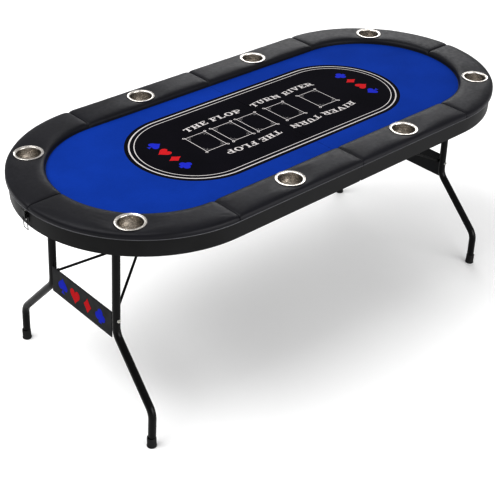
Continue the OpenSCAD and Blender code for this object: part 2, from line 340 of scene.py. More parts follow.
def cloth_material(name, deep, light, sheen):
    """Suede-finish speed cloth: knitted polyester, brushed to a nap that clumps at about 1.1 mm."""
    m, t, bsdf, where = new_material(
        name, Roughness=0.95, Specular_IOR_Level=0.08, Sheen_Weight=sheen, Sheen_Roughness=0.45,
        Sheen_Tint=hex_colour(light),
    )
    fibres = noise_mask(t, where, 1.1, 2, 0.3, 0.7, (1.0, 0.35, 1.0))
    patches = noise_mask(t, where, 140, 3, 0.35, 0.65)
    fine = mix_colour(t, fibres, deep, hex_colour(light))
    broad = mix_colour(t, patches, deep, hex_colour(light))
    t.links.new(mix_colour(t, 0.4, fine, broad), bsdf.inputs["Base Color"])
    bump(t, bsdf, fibres, 0.12, 0.35)
    return m


def ink(name, code, wear=0.12):
    """Screen-printed ink that sinks into the nap, so the cloth's fibres break up its edge and tone."""
    m, t, bsdf, where = new_material(name, Roughness=0.85, Specular_IOR_Level=0.2)
    fibres = noise_mask(t, where, 1.2, 2, 0.25, 0.6)
    full = hex_colour(code)
    thin = tuple(c * (1 - wear * 2.4) for c in full[:3]) + (1.0,)
    t.links.new(mix_colour(t, fibres, thin, full), bsdf.inputs["Base Color"])
    bump(t, bsdf, fibres, 0.08, 0.3)
    return m


def apron_wrap():
    """Satin black PVC film wrapped on a bent MDF skirt, with faint orange peel and hand marks."""
    m, t, bsdf, where = new_material("satin black film", Roughness=0.45, Specular_IOR_Level=0.18)
    peel = noise_mask(t, where, 3.5, 2, 0.3, 0.7)
    smudge = noise_mask(t, where, 90, 4, 0.4, 0.62)
    tint(t, bsdf, smudge, "121213", "19191a")
    gloss(t, bsdf, smudge, 0.40, 0.5)
    bump(t, bsdf, peel, 0.05, 0.25)
    return m


def stainless():
    """Pressed 201 stainless steel, mechanically polished: bright, with fine turning marks round the cup."""
    m, t, bsdf, where = new_material(
        "polished stainless steel", Base_Color=hex_colour("d0ccc7"), Metallic=1.0, Roughness=0.26
    )
    marks = noise_mask(t, where, 14, 3, 0.35, 0.65)
    lines = noise_mask(t, where, 1.4, 2, 0.3, 0.7, (0.12, 0.12, 3.0))
    tint(t, bsdf, marks, "c8c4bf", "dad6d1")
    gloss(t, bsdf, lines, 0.2, 0.32)
    bump(t, bsdf, lines, 0.02, 0.2)
    return m


def powder_coat(name, low, high, rough):
    """Epoxy powder coat on steel: glossy black with a fine orange peel of about 2 mm."""
    m, t, bsdf, where = new_material(name, Roughness=rough, Specular_IOR_Level=0.2)
    peel = noise_mask(t, where, 2.2, 2, 0.3, 0.7)
    dust = noise_mask(t, where, 45, 4, 0.45, 0.68)
    tint(t, bsdf, dust, low, high)
    gloss(t, bsdf, dust, rough, rough + 0.12)
    bump(t, bsdf, peel, 0.05, 0.3)
    return m


def zinc():
    """Bright zinc plating on mild steel, with its faint blue-yellow passivation clouding."""
    m, t, bsdf, where = new_material("bright zinc plate", Metallic=1.0, Roughness=0.3)
    cloud = noise_mask(t, where, 9, 3, 0.35, 0.65)
    tint(t, bsdf, cloud, "a9abad", "c3c1b8")
    gloss(t, bsdf, cloud, 0.24, 0.42)
    return m


def rubber():
    """Moulded EPDM rubber: dull black with a fine spark-eroded mould texture."""
    m, t, bsdf, where = new_material("moulded rubber", Roughness=0.75, Specular_IOR_Level=0.35)
    grit = noise_mask(t, where, 0.9, 2, 0.3, 0.7)
    dust = noise_mask(t, where, 18, 3, 0.45, 0.7)
    tint(t, bsdf, dust, "131314", "222223")
    bump(t, bsdf, grit, 0.06, 0.5)
    return m


def board_stock():
    """MDF with a charcoal paper face: matt, with a felted fibre fleck of about 2.5 mm."""
    m, t, bsdf, where = new_material("charcoal faced board", Roughness=0.7, Specular_IOR_Level=0.3)
    fleck = noise_mask(t, where, 2.5, 3, 0.4, 0.6, (1, 0.4, 1))
    patch = noise_mask(t, where, 70, 3, 0.35, 0.65)
    tone = mix_colour(t, fleck, hex_colour("1f1d1c"), hex_colour("2a2725"))
    t.links.new(mix_colour(t, patch, tone, hex_colour("252220")), bsdf.inputs["Base Color"])
    bump(t, bsdf, fleck, 0.05, 0.3)
    return m


def foam():
    """Cut polyurethane foam, grey, with open cells of about 1.2 mm."""
    m, t, bsdf, where = new_material("grey underlay foam", Roughness=0.95, Specular_IOR_Level=0.1)
    cells = node(t, "ShaderNodeTexVoronoi", {"Scale": 1000 / 1.2}, {"Vector": where}).outputs["Distance"]
    tint(t, bsdf, cells, "4a4a4c", "2c2c2e")
    bump(t, bsdf, cells, 0.3, 0.6)
    return m


def piping():
    """Welded vinyl edge piping, smoother than the cover it closes; its pale grey colour is a painted highlight along
    the rail's lip.
    """
    m, t, bsdf, where = new_material("vinyl edge piping with painted highlight", Roughness=0.3, Specular_IOR_Level=0.6)
    tone = noise_mask(t, where, 35, 3, 0.35, 0.65)
    # pale greys far lighter than the black cover: a painted highlight
    tint(t, bsdf, tone, "3c3c40", "4a4a4f")
    return m


def blue_cloth():
    """The dyed playing surface, in the colour of the settings."""
    return cloth_material("royal blue suede cloth", (*bpy.context.scene.card_cloth.cloth, 1.0), "124098", 0.06)


MAKERS = {
    "vinyl": vinyl,
    "blue": blue_cloth,
    "black": lambda: cloth_material("black printed cloth", hex_colour("08070e"), "121019", 0.03),
    "white ink": lambda: ink("off-white ink", "c2bebd"),
    "red ink": lambda: ink("red ink", "b81620"),
    "blue ink": lambda: ink("blue ink", "1a2bb0"),
    "apron": apron_wrap,
    "cup": stainless,
    "tube": lambda: powder_coat("gloss black powder coat", "030304", "070708", 0.22),
    "enamel": lambda: powder_coat("black enamel", "050506", "0a0a0b", 0.3),
    "sheet": lambda: powder_coat("satin charcoal powder coat", "0f1013", "15161a", 0.5),
    "zinc": zinc,
    "rubber": rubber,
    "board": board_stock,
    "foam": foam,
    "piping": piping,
}
_made = {}


def finish(kind):
    """The material of that kind, made once."""
    if kind not in _made:
        _made[kind] = MAKERS[kind]()
    return _made[kind]


def dress(node_name, kind):
    """Gives a CAD node its real finish."""
    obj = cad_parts[node_name]
    if not obj.material_slots:
        obj.data.materials.append(finish(kind))
    for s in obj.material_slots:
        s.link = "OBJECT"
        s.material = finish(kind)


# ---------------------------------------------------------------- geometry node trees


def node_group(name, sizes, material):
    """An empty geometry tree with a mesh input, named sizes and a material, ending in Realize and Set Material."""
    g = bpy.data.node_groups.new(name, "GeometryNodeTree")
    g.interface.new_socket("Geometry", in_out="INPUT", socket_type="NodeSocketGeometry")
    for key, value in sizes.items():
        kind = "NodeSocketInt" if isinstance(value, int) else "NodeSocketFloat"
        s = g.interface.new_socket(key, in_out="INPUT", socket_type=kind)
        s.default_value = value
    s = g.interface.new_socket("Finish", in_out="INPUT", socket_type="NodeSocketMaterial")
    s.default_value = material
    g.interface.new_socket("Geometry", in_out="OUTPUT", socket_type="NodeSocketGeometry")
    return g, node(g, "NodeGroupInput"), node(g, "NodeGroupOutput")


def close_group(g, source, start, end):
    real = node(g, "GeometryNodeRealizeInstances", links={"Geometry": source})
    done = node(
        g, "GeometryNodeSetMaterial", links={"Geometry": real.outputs[0], "Material": start.outputs["Finish"]}
    )
    g.links.new(done.outputs[0], end.inputs[0])


def run_tree(obj, group, **values):
    """Adds the tree, sets its named inputs and turns the result into a plain mesh."""
    m = obj.modifiers.new(group.name, "NODES")
    m.node_group = group
    for item in group.interface.items_tree:
        if item.item_type == "SOCKET" and item.in_out == "INPUT" and item.name in values:
            m[item.identifier] = values[item.name]
    return apply_modifiers(obj)


def piping_tree(material):
    """A round bead along the edges of a line mesh."""
    g, start, end = node_group("edge bead", {"Radius": 0.0015, "Sides": 8}, material)
    curve = node(g, "GeometryNodeMeshToCurve", links={"Mesh": start.outputs["Geometry"]})
    sizes = {"Resolution": start.outputs["Sides"], "Radius": start.outputs["Radius"]}
    ring = node(g, "GeometryNodeCurvePrimitiveCircle", links=sizes)
    tube = node(
        g, "GeometryNodeCurveToMesh", {"Fill Caps": True}, {"Curve": curve.outputs[0], "Profile Curve": ring.outputs[0]}
    )
    close_group(g, tube.outputs[0], start, end)
    return g


def scatter_tree(part, material):
    """One copy of a small part at every vertex, turned to that vertex's normal and by a seeded angle."""
    g, start, end = node_group("fixings at points", {"Size": 1.0, "Seed": 3}, material)
    info = node(g, "GeometryNodeObjectInfo", {"Object": part})
    info.transform_space = "ORIGINAL"
    direction = node(g, "GeometryNodeInputNamedAttribute", {"data_type": "FLOAT_VECTOR", "Name": "aim"})
    aim = node(g, "FunctionNodeAlignRotationToVector", {"axis": "Z"}, {"Vector": direction.outputs[0]})
    spin = node(g, "FunctionNodeRandomValue", {"data_type": "FLOAT"}, {"Seed": start.outputs["Seed"]})
    spin.inputs[3].default_value = 6.28
    euler = node(g, "ShaderNodeCombineXYZ", links={2: spin.outputs[1]})
    turned = node(
        g, "FunctionNodeRotateRotation", {"rotation_space": "LOCAL"}, {0: aim.outputs[0], 1: euler.outputs[0]}
    )
    placed = node(
        g, "GeometryNodeInstanceOnPoints",
        links={
            "Points": start.outputs["Geometry"], "Instance": info.outputs["Geometry"],
            "Rotation": turned.outputs[0], "Scale": start.outputs["Size"],
        },
    )
    close_group(g, placed.outputs[0], start, end)
    return g


# ---------------------------------------------------------------- padded rail


def smooth_line(points, step):
    """A Catmull-Rom curve through 2D points, sampled about every step millimetres."""
    pts = [np.array(p, float) for p in points]
    pts = [2 * pts[0] - pts[1]] + pts + [2 * pts[-1] - pts[-2]]
    out = []
    for a, b, c, d in zip(pts, pts[1:], pts[2:], pts[3:]):
        n = max(1, round(float(np.linalg.norm(c - b)) / step))
        for i in range(n):
            t = i / n
            out.append(
                0.5 * (2 * b + (c - a) * t + (2 * a - 5 * b + 4 * c - d) * t * t + (3 * b - a - 3 * c + d) * t**3)
            )
    out.append(pts[-2])
    return [tuple(p) for p in out]


COVER = [
    (416.2, 730.4), (419.2, 731.4), (420.7, 734.6), (420.9, 739.5), (420.2, 743.9), (417.6, 747.5), (412.5, 749.4),
    (402, 750.2), (384, 750.6), (362, 750.8), (340, 750.7), (324, 750.2), (314, 749.3), (308.3, 747.2), (305.2, 743.2),
    (303.9, 737.5), (303.4, 730.9),
]
PAD_CEILING, CUP_FADE, SWELL = 753.5, 45.0, 1.6
FRAMES_RUN = 20
UNDERSIDE = [(307.2, 730.4), (307.4, 735.4), (362, 735.5), (414.6, 735.4), (414.8, 730.4)]


def rail_point(kind, sx, sy, s, r, z):
    """Place on the rail: s runs along the straight side or, in degrees, round the end."""
    if kind == "side":
        return (sx * s, sy * r, z)
    a = math.radians(s)
    return (sx * (STRAIGHT + r * math.sin(a)), sy * r * math.cos(a), z)


def cup_centre(kind):
    k = CUP_R * math.sqrt(0.5)
    return (CUP_ALONG, CUP_R) if kind == "side" else (STRAIGHT + k, k)


def stations(length):
    """Places along a rail segment, closer together by its seams."""
    near = [0.0, 0.6, 1.4, 2.5, 4.0, 6.0, 8.6, 12.0, 16.0, 20.5]
    middle = length - 2 * near[-1]
    n = round(middle / 5.6)
    return near + [near[-1] + middle * i / n for i in range(1, n)] + [length - d for d in reversed(near)]


def rail_pad(half, side, kind):
    """One stuffed rail segment with its cover drawn down into the seams at both ends."""
    p = bpy.context.scene.card_rail
    sx, sy = SIGN[half], SIGN[side]
    cover = smooth_line(COVER, 4.5)
    n_cover = len(cover)
    section = cover + UNDERSIDE
    length = STRAIGHT - FOLD_GAP - 0.3 if kind == "side" else CUP_R * math.pi / 2 - 0.5
    cx, cy = cup_centre(kind)
    seam_w, seam_d, crown = p.seam_width / MM, p.seam_depth / MM, p.crown / MM
    seed = 11.0 * (1 + HALVES.index(half) * 4 + SIDES.index(side) * 2 + (kind == "end"))
    places = stations(length)
    verts, fixed = [], []
    for d0 in places:
        if kind == "side":
            s = FOLD_GAP + 0.05 + d0
        else:
            s = math.degrees((d0 + 0.25) / CUP_R)
        d = min(d0, length - d0)
        edge = max(0.0, 1 - d / seam_w)
        pinch = 1 - math.sqrt(max(0.0, 1 - edge * edge))
        lift = crown * min(1.0, d / 70) ** 0.5
        for i, (r, z) in enumerate(section):
            if i >= n_cover:
                verts.append(rail_point(kind, sx, sy, s, r, z))
                fixed.append(1.0)
                continue
            x, y, _ = rail_point(kind, 1, 1, s, r, z)
            away = math.hypot(x - cx, y - cy)
            near_cup = min(1.0, max(0.0, (away - CUP_FLANGE_R) / CUP_FADE))
            top = min(1.0, max(0.0, (z - CLOTH_TOP) / 16))
            across = min(1.0, min(r - RAIL_IN, RAIL_OUT - r) / 30)
            fold = noise.noise(Vector((r * 0.055 + seed, s * 0.012, seed)))
            gather = 0.55 * fold * math.exp(-d / 22) * top + 0.25 * noise.noise(Vector((x * 0.03, y * 0.03, seed)))
            dz = lift * across * near_cup - seam_d * pinch * top + gather * top * near_cup - 0.5 * (1 - near_cup) * top
            dr = 0.0
            if r > 412:
                dr = -2.6 * pinch
            elif r < RAIL_IN + 12:
                dr = 2.2 * pinch * top
            verts.append(rail_point(kind, sx, sy, s, r + dr, min(z + dz, PAD_CEILING)))
            fixed.append(1.0 if (i < 3 or i > n_cover - 4 or edge > 0.35 or away < 56) else 0.0)
    n = len(section)
    faces = ring_faces(len(places), n)
    faces.append(tuple(range(n)))
    faces.append(tuple(reversed(range(len(verts) - n, len(verts)))))
    obj = mesh_object(f"{half}_{side}_{kind}_pad", verts, faces, [finish("vinyl")])
    tidy(obj, 0.001)
    stuff(obj, fixed, SWELL)
    cut_cup_hole(obj, sx * cx, sy * cy)
    shade(obj, 50)
    settle(obj, f"{half}_half", "padded_vinyl", f"{half}_pad_{side}" if kind == "side" else f"{half}_pad_end_{side}")
    return obj


def stuff(obj, fixed, cap_mm):
    """Blows the cover up from inside as cloth, holding it at its seams, and caps how far it may swell."""
    scene = bpy.context.scene
    before = np.array([v.co for v in obj.data.vertices])
    group = obj.vertex_groups.new(name="held")
    for i, w in enumerate(fixed[: len(before)]):
        if w > 0:
            group.add([i], w, "REPLACE")
    m = obj.modifiers.new("Cloth", "CLOTH")
    c = m.settings
    c.quality = 5
    c.mass = 0.3
    c.tension_stiffness = c.compression_stiffness = 40
    c.shear_stiffness = 20
    c.bending_stiffness = 0.8
    c.use_pressure = True
    c.uniform_pressure_force = 4.0
    c.vertex_group_mass = "held"
    c.effector_weights.gravity = 0
    m.collision_settings.use_self_collision = False
    m.point_cache.frame_start, m.point_cache.frame_end = 1, FRAMES_RUN
    scene.frame_start, scene.frame_end = 1, FRAMES_RUN
    for f in range(1, FRAMES_RUN + 1):
        scene.frame_set(f)
    deps = bpy.context.evaluated_depsgraph_get()
    shaped = obj.evaluated_get(deps)
    after = np.array([v.co for v in shaped.data.vertices])
    obj.modifiers.clear()
    obj.vertex_groups.clear()
    scene.frame_set(1)
    move = after - before
    far = np.linalg.norm(move, axis=1, keepdims=True)
    cap = cap_mm * MM
    move *= np.where(far > 0, cap * np.tanh(far / cap) / np.maximum(far, 1e-9), 0)
    obj.data.vertices.foreach_set("co", (before + move).astype(np.float32).ravel())
    obj.data.update()


def cut_cup_hole(obj, x, y):
    """Opens the round hole that the cup holder drops into."""
    verts, faces = lathe([(0, 700), (CUP_HOLE_R, 700), (CUP_HOLE_R, 780), (0, 780)], (x, y), 72)
    cutter = mesh_object("cutter", verts, faces)
    tidy(cutter)
    add_modifier(obj, "BOOLEAN", operation="DIFFERENCE", object=cutter, solver="MANIFOLD")
    apply_modifiers(obj)
    bpy.data.objects.remove(cutter)
    tidy(obj, 0.002)


def edge_line(name, points):
    """A bare line of points for a tree to follow."""
    mesh = bpy.data.meshes.new(name)
    mesh.from_pydata([tuple(c * MM for c in p) for p in points], [(i, i + 1) for i in range(len(points) - 1)], [])
    return linked(name, mesh)


def rail_run(half, side, r, z, trim=1.2):
    """Points along one side of a half, from the fold to the middle of the end."""
    sx, sy = SIGN[half], SIGN[side]
    start = FOLD_GAP + trim
    side_run = [rail_point("side", sx, sy, start + (STRAIGHT - start) * i / 60, r, z) for i in range(60)]
    degrees = [a * 1.5 for a in range(60)] + [89.9]
    return side_run + [rail_point("end", sx, sy, a, r, z) for a in degrees]


# ---------------------------------------------------------------- printed cloth


def track_points(s, r, sx, count=48, gap=CLOTH_TRIM):
    """A half racetrack outline: from the fold on the far side, round the end, back to the fold on the near side."""
    side = [(gap + (s - gap) * i / count, r) for i in range(count)]
    angles = [math.pi * i / (2 * count) for i in range(2 * count + 1)]
    arc = [(s + r * math.sin(a), r * math.cos(a)) for a in angles]
    back = [(s - (s - gap) * i / count, -r) for i in range(1, count + 1)]
    return [(sx * x, y) for x, y in side + arc + back]


def prism(outline, z0, z1):
    """A thin closed block over a 2D outline, as (verts, faces)."""
    n = len(outline)
    verts = [(x, y, z0) for x, y in outline] + [(x, y, z1) for x, y in outline]
    faces = [tuple(reversed(range(n))), tuple(range(n, 2 * n))]
    faces += [(i, (i + 1) % n, n + (i + 1) % n, n + i) for i in range(n)]
    return verts, faces


def band(outer, inner, z0, z1):
    """A thin flat strip between two lines of the same length, as (verts, faces)."""
    n = len(outer)
    verts = [(x, y, z) for z in (z0, z1) for line in (outer, inner) for x, y in line]
    a, b, c, d = 0, n, 2 * n, 3 * n
    faces = []
    for i in range(n - 1):
        j = i + 1
        faces += [
            (c + i, c + j, d + j, d + i), (a + j, a + i, b + i, b + j),
            (a + i, a + j, c + j, c + i), (b + j, b + i, d + i, d + j),
        ]
    faces += [(a, c, d, b), (a + n - 1, b + n - 1, d + n - 1, c + n - 1)]
    return verts, faces


ZONE_STEPS, EDGE_STEPS = (0.25, 0.5, 0.75, 0.93, 1.0), (0.12, 0.35, 0.6, 0.82, 0.95, 1.0)


def cloth_half(half):
    """The stretched cloth of one half, with its printed zone as its own faces."""
    sx = SIGN[half]
    edge = track_points(STRAIGHT, RAIL_IN - CLOTH_TRIM, sx)
    zone = track_points(ZONE_S, ZONE_R, sx)
    spine = [(sx * min(abs(x), ZONE_S), 0.0) for x, y in zone]
    rings = [spine]
    for inner, outer, steps in ((spine, zone, ZONE_STEPS), (zone, edge, EDGE_STEPS)):
        for f in steps:
            rings.append([(a[0] + (b[0] - a[0]) * f, a[1] + (b[1] - a[1]) * f) for a, b in zip(inner, outer)])
    n = len(edge)
    verts, faces, kinds = [], [], []
    for k, ring in enumerate(rings):
        for x, y in ring:
            dip = -0.35 if k == len(rings) - 1 else 0.0
            verts.append((x, y, CLOTH_TOP + dip))
    for k in range(len(rings) - 1):
        for i in range(n - 1):
            a, b = k * n + i, (k + 1) * n + i
            faces.append((a, b, b + 1, a + 1) if sx < 0 else (a, a + 1, b + 1, b))
            kinds.append(1 if k < len(ZONE_STEPS) else 0)
    obj = mesh_object(f"{half}_cloth", verts, faces, [finish("blue"), finish("black")], face_slots=kinds)
    bm = bmesh.new()
    bm.from_mesh(obj.data)
    bmesh.ops.remove_doubles(bm, verts=bm.verts, dist=0.02 * MM)
    bmesh.ops.dissolve_degenerate(bm, edges=bm.edges, dist=0.01 * MM)
    bmesh.ops.recalc_face_normals(bm, faces=bm.faces)
    if sum(f.normal.z * f.calc_area() for f in bm.faces) < 0:
        bmesh.ops.reverse_faces(bm, faces=bm.faces)
    bm.to_mesh(obj.data)
    bm.free()
    add_modifier(obj, "SOLIDIFY", thickness=1.1 * MM, offset=-1.0, use_even_offset=True)
    apply_modifiers(obj)
    shade(obj, 40)
    return obj


def ellipse(cx, cy, rx, ry, a0, a1, n=14):
    angles = [math.radians(a0 + (a1 - a0) * i / n) for i in range(n + 1)]
    return [(cx + rx * math.cos(a), cy + ry * math.sin(a)) for a in angles]


# slab-serif capitals, ten units high: width, outline, hole
FOOT = [(0, 0), (4.6, 0), (4.6, 1.4), (3.4, 1.4)]
HEAD = [(0, 10), (0, 8.6), (1, 8.6), (1, 1.4), (0, 1.4)]
ARMS = [
    (3.4, 4.3), (4.8, 4.3), (4.8, 3.4), (6, 3.4), (6, 6.6), (4.8, 6.6), (4.8, 5.7), (3.4, 5.7), (3.4, 8.6), (6.7, 8.6),
    (6.7, 7), (8, 7), (8, 10),
]
LETTERS = {
    "I": (4.4, [(0, 0), (4.4, 0), (4.4, 1.4), (3.4, 1.4), (3.4, 8.6), (4.4, 8.6), (4.4, 10)] + HEAD, None),
    "H": (
        9.6,
        [(0, 0), (4.4, 0), (4.4, 1.4), (3.4, 1.4), (3.4, 4.3), (6.2, 4.3), (6.2, 1.4), (5.2, 1.4), (5.2, 0), (9.6, 0),
         (9.6, 1.4), (8.6, 1.4), (8.6, 8.6), (9.6, 8.6), (9.6, 10), (5.2, 10), (5.2, 8.6), (6.2, 8.6), (6.2, 5.7),
         (3.4, 5.7), (3.4, 8.6), (4.4, 8.6), (4.4, 10)] + HEAD,
        None,
    ),
    "T": (
        9,
        [(2.3, 0), (6.7, 0), (6.7, 1.4), (5.7, 1.4), (5.7, 8.5), (7.6, 8.5), (7.6, 6.9), (9, 6.9), (9, 10), (0, 10),
         (0, 6.9), (1.4, 6.9), (1.4, 8.5), (3.3, 8.5), (3.3, 1.4), (2.3, 1.4)],
        None,
    ),
    "E": (8.2, [(0, 0), (8.2, 0), (8.2, 3), (6.9, 3), (6.9, 1.4), (3.4, 1.4)] + ARMS + HEAD, None),
    "F": (8, FOOT + ARMS + HEAD, None),
    "L": (
        7.8,
        [(0, 0), (7.8, 0), (7.8, 3.4), (6.5, 3.4), (6.5, 1.4), (3.4, 1.4), (3.4, 8.6), (4.6, 8.6), (4.6, 10)]
        + HEAD,
        None,
    ),
    "O": (9.4, ellipse(4.7, 5, 4.7, 5.15, 0, 345, 30), ellipse(4.7, 5, 2.1, 3.7, 0, 345, 30)),
    "P": (
        8.6, FOOT + [(3.4, 3.9)] + ellipse(5.4, 6.95, 3.05, 3.05, -90, 90) + HEAD,
        [(3.4, 5.3)] + ellipse(5.2, 6.95, 1.6, 1.6, -90, 90) + [(3.4, 8.55)],
    ),
    "R": (
        9.4,
        FOOT + [(3.4, 4.1), (4.4, 4.1), (6.1, 0), (9.4, 0), (9.4, 1.4), (8.4, 1.4), (7.0, 4.5)]
        + ellipse(5.4, 7.05, 2.95, 2.95, -50, 90) + HEAD,
        [(3.4, 5.5)] + ellipse(5.2, 7.05, 1.55, 1.55, -90, 90) + [(3.4, 8.6)],
    ),
    "U": (
        9.4,
        [(0, 10), (0, 8.6), (1, 8.6)] + ellipse(4.7, 3.9, 3.7, 4.0, 180, 360)
        + [(8.4, 8.6), (9.4, 8.6), (9.4, 10), (5.4, 10), (5.4, 8.6)]
        + ellipse(5.0, 3.9, 1.6, 2.4, 360, 180) + [(3.4, 8.6), (4.4, 8.6), (4.4, 10)],
        None,
    ),
    "N": (
        10,
        [(0, 0), (4, 0), (4, 1.4), (2.8, 1.4), (2.8, 6.4), (7.2, 0), (9, 0), (9, 8.6), (10, 8.6), (10, 10), (6, 10),
         (6, 8.6), (7.2, 8.6), (7.2, 3.6), (3.2, 10)] + HEAD,
        None,
    ),
    "V": (
        9.8,
        [(3.9, 0), (5.9, 0), (8.9, 8.6), (9.8, 8.6), (9.8, 10), (5.8, 10), (5.8, 8.6), (6.9, 8.6), (5.3, 3.4),
         (3.5, 8.6), (4.5, 8.6), (4.5, 10), (0, 10), (0, 8.6), (0.9, 8.6)],
        None,
    ),
}


def word_outlines(word, x0, x1, height, arch):
    """Outlines of one arched word between x0 and x1, with its foot on y = 0."""
    gap, x, found = 1.1, 0.0, []
    for ch in word:
        if ch == " ":
            x += 4.2
            continue
        width, outline, hole = LETTERS[ch]
        found.append((x, outline, hole))
        x += width + gap
    total = x - gap
    scale = (x1 - x0) / total

    def place(dx, pts):
        out = []
        for px, py in pts:
            u = (dx + px) / total * 2 - 1
            out.append((x0 + (dx + px) * scale, py / 10 * height + arch * (1 - u * u)))
        return out

    return [(place(dx, o), place(dx, h) if h else None) for dx, o, h in found]


def fill_outlines(name, shapes, z0, thickness, material):
    """Turns outlines with holes into one thin mesh, lying flat."""
    curve = bpy.data.curves.new(name, "CURVE")
    curve.dimensions, curve.fill_mode = "2D", "BOTH"
    curve.extrude = thickness / 2 * MM
    for loops in shapes:
        for pts in loops:
            if not pts:
                continue
            s = curve.splines.new("POLY")
            s.points.add(len(pts) - 1)
            for q, (x, y) in zip(s.points, pts):
                q.co = (x * MM, y * MM, 0, 1)
            s.use_cyclic_u = True
    holder = linked(name, curve)
    bpy.context.view_layer.update()
    mesh = bpy.data.meshes.new_from_object(holder.evaluated_get(bpy.context.evaluated_depsgraph_get()))
    bpy.data.objects.remove(holder)
    mesh.transform(Matrix.Translation((0, 0, (z0 + thickness / 2) * MM)))
    mesh.materials.clear()
    mesh.materials.append(material)
    return tidy(linked(name, mesh), 0.002)


def star_outline(circles, triangle, count=64):
    """Outline of overlapping circles, all round the origin, and a stem below."""
    out = []
    for k in range(count):
        a = 2 * math.pi * k / count
        d = (math.cos(a), math.sin(a))
        best = 0.0
        for cx, cy, r in circles:
            b = cx * d[0] + cy * d[1]
            disc = b * b - (cx * cx + cy * cy) + r * r
            if disc > 0:
                best = max(best, b + math.sqrt(disc))
        half, depth = triangle
        if d[1] < -0.2 and abs(d[0] / d[1]) * depth <= half:
            best = max(best, depth / -d[1])
        out.append((best * d[0], best * d[1]))
    return out


def pip(kind, size):
    """A playing-card suit mark, size millimetres high, as two layers of outlines: body and stem."""
    if kind == "diamond":
        pts = [(0, -0.5), (0.18, -0.22), (0.37, 0), (0.18, 0.22), (0, 0.5), (-0.18, 0.22), (-0.37, 0), (-0.18, -0.22)]
    elif kind == "club":
        pts = star_outline([(0, 0.22, 0.235), (-0.225, -0.09, 0.245), (0.225, -0.09, 0.245)], (0.16, 0.5))
    else:
        pts = []
        for k in range(60):
            t = 2 * math.pi * k / 60
            x = 0.47 * math.sin(t) ** 3
            y = (13 * math.cos(t) - 5 * math.cos(2 * t) - 2 * math.cos(3 * t) - math.cos(4 * t)) / 30
            pts.append((x, y))
        if kind == "spade":
            body = [(x * 0.98, -y * 0.86 + 0.08) for x, y in pts]
            stem = [(-0.17, -0.5), (0.17, -0.5), (0.05, -0.3), (0.03, -0.12), (-0.03, -0.12), (-0.05, -0.3)]
            return [[(x * size, y * size) for x, y in body]], [[(x * size, y * size) for x, y in stem]]
    return [[(x * size, y * size) for x, y in pts]], []


# ---------------------------------------------------------------- legs


def leg_place(x, y, down, sx=-1):
    """A point of the leg frame, given from its hinge, put into the table's frame."""
    c, s = math.cos(LEG_LEAN), math.sin(LEG_LEAN)
    return (sx * (LEG_X - x * c + down * s), y, LEG_Z - x * s - down * c)


def leg_path():
    """Centre line of the far leg in its own frame: (sideways, down)."""
    turn = math.atan2(FOOT_Y - LEG_Y, BEND_B - BEND_A)
    t = BEND_R * math.tan(turn / 2)
    pts = [(LEG_Y, 6 + (BEND_A - t - 6) * i / 10) for i in range(11)]
    for i in range(1, 15):
        a = turn * i / 14
        pts.append((LEG_Y + BEND_R * (1 - math.cos(a)), BEND_A - t + BEND_R * math.sin(a)))
    y1, d1 = pts[-1]
    y2, d2 = FOOT_Y - t * math.sin(turn), BEND_B - t * math.cos(turn)
    pts += [(y1 + (y2 - y1) * i / 8, d1 + (d2 - d1) * i / 8) for i in range(1, 9)]
    for i in range(1, 15):
        a = turn * (1 - i / 14)
        pts.append((FOOT_Y - BEND_R * (1 - math.cos(a)), BEND_B + t - BEND_R * math.sin(a)))
    last = BEND_B + t
    pts += [(FOOT_Y, last + (LEG_Z - 6 - last) * i / 5) for i in range(1, 6)]
    return pts


def leg_tube(half, side):
    """One bent leg with its weld to the cross tube."""
    sx, sy = SIGN[half], SIGN[side]
    r = bpy.context.scene.card_metal.tube_radius / MM
    path = [leg_place(0, sy * y, d, sx) for y, d in leg_path()]
    parts = [sweep(path, r, 36)]
    ring = []  # fillet weld where the leg meets the cross tube
    for k in range(61):
        a = 2 * math.pi * k / 60
        out = r + 0.4 + 0.3 * math.sin(11 * a)
        x = out * math.sin(a)
        ring.append(leg_place(x, sy * (LEG_Y + out * math.cos(a)), math.sqrt(CROSS_R**2 - x * x) + 0.3, sx))
    parts.append(sweep(ring, 1.5, 8, caps=False))
    obj = mesh_object(f"{half}_leg_{side}_tube", *merged_lists(parts), [finish("tube")])
    tidy(obj)
    shade(obj, 45)
    return settle(obj, f"{half}_leg_frame", "black_tube", f"{half}_leg_{side}")


PANEL_HALF, PANEL_MIDDLE = 157.2, 353.5
# outer face to the outside, a 1 mm hem bead along both long edges
PANEL_SECTION = [
    (-9.4, 309), (-8.9, 307.2), (-7.6, 306.4), (-6.9, 307.2), (-6.6, 309), (-6.6, 398), (-6.9, 399.8), (-7.6, 400.6),
    (-8.9, 399.8), (-9.4, 398), (-9.5, 394), (-9.2, 391), (-9.2, 316), (-9.5, 313),
]


def panel_sheet(half):
    """The flat sheet between the upper legs, with a hemmed top and bottom edge."""
    sx, columns, n = SIGN[half], 40, len(PANEL_SECTION)
    verts = []
    for i in range(columns + 1):
        y = -PANEL_HALF + 2 * PANEL_HALF * i / columns
        verts += [leg_place(x, y, d, sx) for x, d in PANEL_SECTION]
    faces = ring_faces(columns + 1, n) + [tuple(range(n)), tuple(range(columns * n, columns * n + n))]
    obj = mesh_object(f"{half}_cross_panel", verts, faces, [finish("sheet")])
    tidy(obj)
    shade(obj, 40)
    return settle(obj, f"{half}_leg_frame", "grey_sheet", f"{half}_leg_panel")


